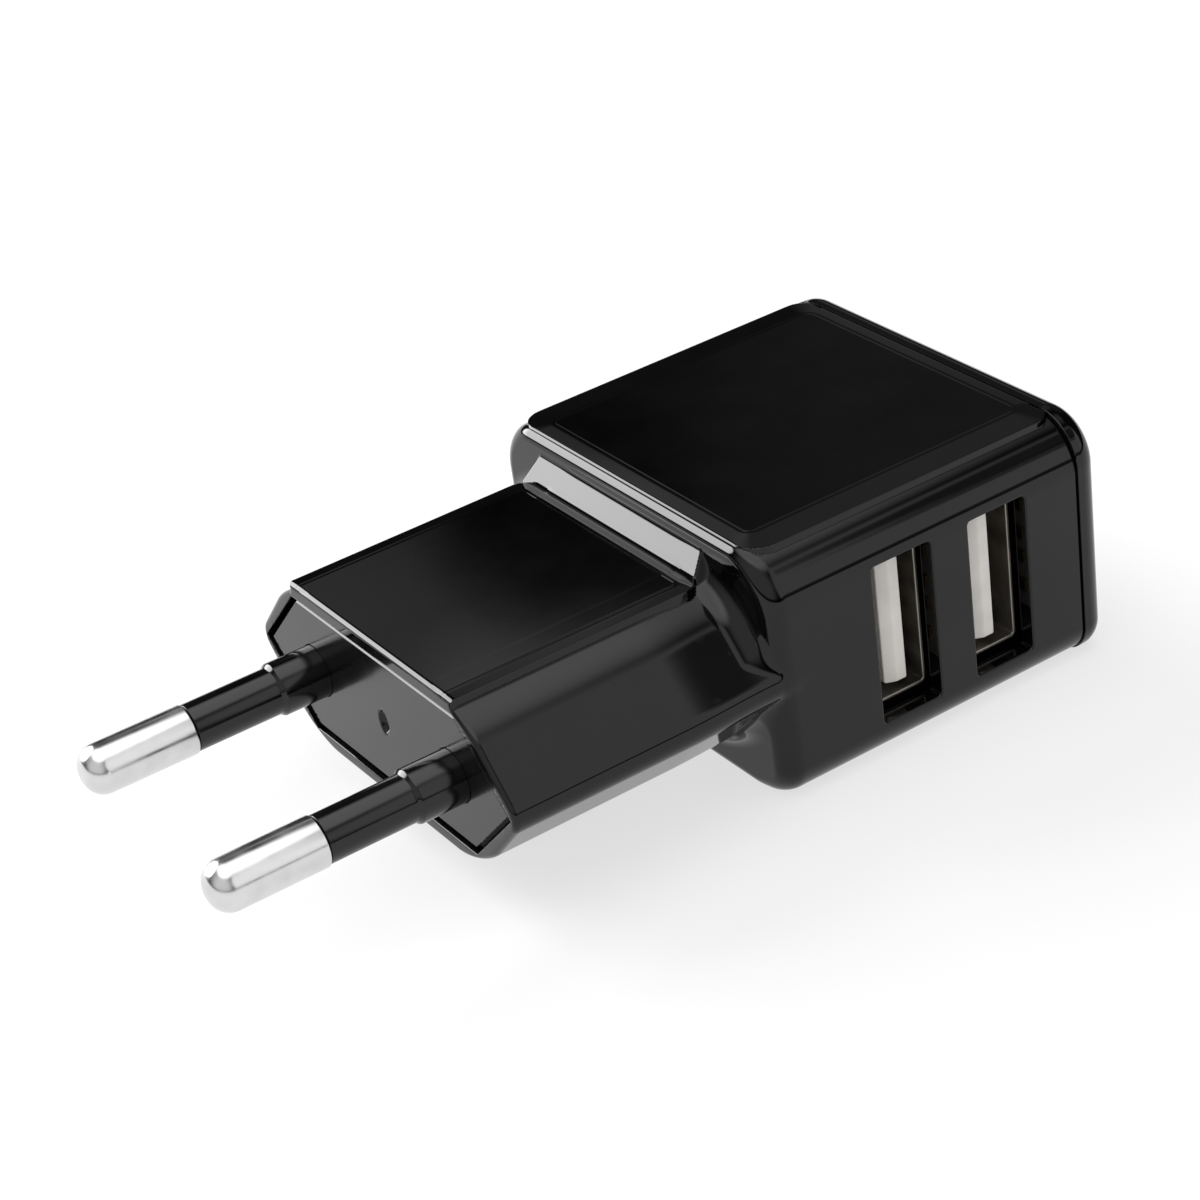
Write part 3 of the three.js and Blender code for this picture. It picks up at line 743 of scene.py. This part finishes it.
gloss = material("gloss_black_plastic", grey(0.0010), grey(0.0020), 220, (0.035, 0.06),
                 bump=0.0000004, bump_scale=900, wear=0.16, IOR=1.40)
plate_black = material("plate_satin_black", grey(0.0012), grey(0.0026), 260, (0.13, 0.20),
                       bump=0.0000008, bump_scale=2200, IOR=1.40)
sleeve_black = material("sleeve_black_plastic", grey(0.0010), grey(0.0024), 300, (0.10, 0.16),
                        bump=0.000001, bump_scale=1500, IOR=1.45)
pin_metal = material("pin_nickel", grey(0.60), grey(0.70), 500, (0.17, 0.27), 1.0,
                     bump=0.0000025, bump_scale=1200, wear=0.2)
shell_steel = material("shell_nickel", (0.24, 0.225, 0.20), (0.36, 0.335, 0.30), 400, (0.36, 0.48), 1.0,
                       bump=0.000001, bump_scale=1500)
tongue_white = material("tongue_white", (0.70, 0.67, 0.63), (0.80, 0.77, 0.73), 500, (0.30, 0.42),
                        bump=0.000002, bump_scale=1200)
gold = material("contact_gold", (0.42, 0.30, 0.13), (0.52, 0.38, 0.18), 800, (0.3, 0.4), 1.0,
                bump=0.000001, bump_scale=1800)

INSIDE = {                           # dark and light colour, noise scale, roughness, bump, bump scale
    "board_green": ((0.010, 0.06, 0.022), (0.02, 0.10, 0.035), 300, (0.35, 0.5), 0.00001, 700),
    "ferrite": ((0.02, 0.02, 0.021), (0.05, 0.05, 0.052), 900, (0.6, 0.8), 0.00001, 2500),
    "bobbin_black": (grey(0.008), grey(0.02), 500, (0.4, 0.55), 0.00001, 1500),
    "winding_tape": ((0.62, 0.40, 0.05), (0.75, 0.52, 0.10), 300, (0.25, 0.4), 0.00002, 600),
    "capacitor_sleeve": ((0.006, 0.014, 0.05), (0.012, 0.024, 0.08), 200, (0.25, 0.35), 0.00001, 500),
    "chip_black": (grey(0.006), grey(0.014), 900, (0.5, 0.65), 0.00001, 3000),
    "disc_blue": ((0.01, 0.07, 0.30), (0.02, 0.11, 0.42), 300, (0.35, 0.5), 0.00001, 1200),
    "resistor_green": ((0.12, 0.30, 0.12), (0.20, 0.42, 0.18), 500, (0.4, 0.5), 0.00001, 1500),
    "wire_blue": ((0.006, 0.04, 0.30), (0.01, 0.06, 0.40), 300, (0.35, 0.45), 0.00001, 900),
    "wire_brown": ((0.10, 0.035, 0.012), (0.16, 0.06, 0.02), 300, (0.35, 0.45), 0.00001, 900),
}
inside = {}
for name, (dark, light, scale, roughness, bump, bump_scale) in INSIDE.items():
    inside[name] = material(name, dark, light, scale, roughness, bump=bump, bump_scale=bump_scale)

FINISH = {
    "housing": (gloss, "gloss_black"),
    "end_cap": (gloss, "gloss_black"),
    "plug_plate": (plate_black, "gloss_black"),
}
for name in pins:
    FINISH[f"pin_{name}"] = (pin_metal, "pin_metal")
    FINISH[f"pin_sleeve_{name}"] = (sleeve_black, "sleeve_black")
for name in shells:
    FINISH[f"usb_shell_{name}"] = (shell_steel, "socket_steel")
    FINISH[f"usb_tongue_{name}"] = (tongue_white, "tongue_white")
for node, piece in pieces.items():
    finish, slot = FINISH[node]
    piece.data.materials.clear()
    piece.data.materials.append(finish)
    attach(piece, "root")
    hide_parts(node)

CARRIED = {
    "main_board": inside["board_green"],
    "transformer_core": inside["ferrite"],
    "transformer_bobbin": inside["bobbin_black"],
    "transformer_winding": inside["winding_tape"],
    "input_capacitor_left": inside["capacitor_sleeve"],
    "input_capacitor_right": inside["capacitor_sleeve"],
    "output_capacitor": inside["capacitor_sleeve"],
    "bridge_rectifier": inside["chip_black"],
    "controller_chip": inside["chip_black"],
    "safety_capacitor": inside["disc_blue"],
    "fuse_resistor": inside["resistor_green"],
    "lead_left": inside["wire_blue"],
    "lead_right": inside["wire_brown"],
}
CONTACTS = 4
for name in shells:
    for k in range(1, CONTACTS + 1):
        CARRIED[f"usb_contact_{name}_{k}"] = gold
for node, finish in CARRIED.items():
    for material_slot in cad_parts[node].material_slots:
        material_slot.material = finish

# ---------------------------------------------------------------- floor and light

FLOOR_Z = cad_box[0][2] - 0.00002
FLOOR_REACH = 3.0
FLOOR_GLOW = 0.68                    # the ground is lit evenly, beyond what the sources give it
CORNERS = ((-1, -1), (1, -1), (1, 1), (-1, 1))
floor_mesh = bpy.data.meshes.new("floor")
floor_mesh.from_pydata([(FLOOR_REACH * x, FLOOR_REACH * y, FLOOR_Z) for x, y in CORNERS], [], [(0, 1, 2, 3)])
floor = bpy.data.objects.new("floor", floor_mesh)
bpy.context.scene.collection.objects.link(floor)
paper = material("floor_paper", grey(0.21), grey(0.23), 6, (0.9, 0.95))
paper_inputs = paper.node_tree.nodes["Principled BSDF"].inputs
paper_inputs["Emission Color"].default_value = (1, 1, 1, 1)
paper_inputs["Emission Strength"].default_value = FLOOR_GLOW
floor.data.materials.append(paper)


def direction(azimuth, elevation):
    a, e = math.radians(azimuth), math.radians(elevation)
    return (math.cos(a) * math.cos(e), math.sin(a) * math.cos(e), math.sin(e))


# The studio: soft sources far off, each as azimuth (from +X towards +Y), elevation, inner and outer radius
# in degrees, and radiance. The shades are dark patches, with the share of light that they leave.
SOURCES = (
    (-157, 26, 19, 25, 12.0),
    (0, 90, 20, 40, 2.2),
    (33, 24, 25, 36, 1.15),
    (-60, 25, 20, 60, 0.8),
    (128, 30, 14, 19, 0.05),
    (157, 32, 2, 6, 0.30),
    (140, 40, 7, 10.5, 0.14),
    (139, 17.5, 4, 7.5, 0.14),
    (151, 34, 2, 4.5, 0.35),
)
SHADES = (
    (42, 31, 2, 6, 0.35),
    (51, 38, 6, 11, 0.15),
    (150.5, 28.3, 1, 3.2, 0.2),
)
BASE = 0.02
HORIZON = (4.0, 7.0)                 # the lights fade in between these elevations
BELOW_HORIZON = 0.12                 # the share that is left below them

world = bpy.data.worlds.new("studio")
bpy.context.scene.world = world
world.use_nodes = True
nodes, links = world.node_tree.nodes, world.node_tree.links
way = nodes.new("ShaderNodeTexCoord")


def spot(azimuth, elevation, inner, outer, low, high):
    """A value that goes from low, outside the spot, to high at its middle."""
    dot = nodes.new("ShaderNodeVectorMath")
    dot.operation = "DOT_PRODUCT"
    dot.inputs[1].default_value = direction(azimuth, elevation)
    links.new(way.outputs["Generated"], dot.inputs[0])
    rise = nodes.new("ShaderNodeMapRange")
    rise.interpolation_type = "SMOOTHSTEP"
    rise.inputs["From Min"].default_value = math.cos(math.radians(outer))
    rise.inputs["From Max"].default_value = math.cos(math.radians(inner))
    rise.inputs["To Min"].default_value = low
    rise.inputs["To Max"].default_value = high
    links.new(dot.outputs["Value"], rise.inputs["Value"])
    return rise.outputs["Result"]


def combine(operation, a, b):
    node = nodes.new("ShaderNodeMath")
    node.operation = operation
    links.new(a, node.inputs[0])
    if isinstance(b, float):
        node.inputs[1].default_value = b
    else:
        links.new(b, node.inputs[1])
    return node.outputs["Value"]


glow = None
for azimuth, elevation, inner, outer, radiance in SOURCES:
    value = spot(azimuth, elevation, inner, outer, 0.0, radiance)
    glow = combine("ADD", value, BASE) if glow is None else combine("ADD", glow, value)
for azimuth, elevation, inner, outer, share in SHADES:
    glow = combine("MULTIPLY", glow, spot(azimuth, elevation, inner, outer, 1.0, share))
height = nodes.new("ShaderNodeVectorMath")
height.operation = "DOT_PRODUCT"
height.inputs[1].default_value = (0, 0, 1)
links.new(way.outputs["Generated"], height.inputs[0])
dusk = nodes.new("ShaderNodeMapRange")
dusk.interpolation_type = "SMOOTHSTEP"
dusk.inputs["From Min"].default_value = math.sin(math.radians(HORIZON[0]))
dusk.inputs["From Max"].default_value = math.sin(math.radians(HORIZON[1]))
dusk.inputs["To Min"].default_value = BELOW_HORIZON
dusk.inputs["To Max"].default_value = 1.0
links.new(height.outputs["Value"], dusk.inputs["Value"])
glow = combine("MULTIPLY", glow, dusk.outputs["Result"])
background = nodes["Background"]
background.inputs["Color"].default_value = (1, 1, 1, 1)
links.new(glow, background.inputs["Strength"])
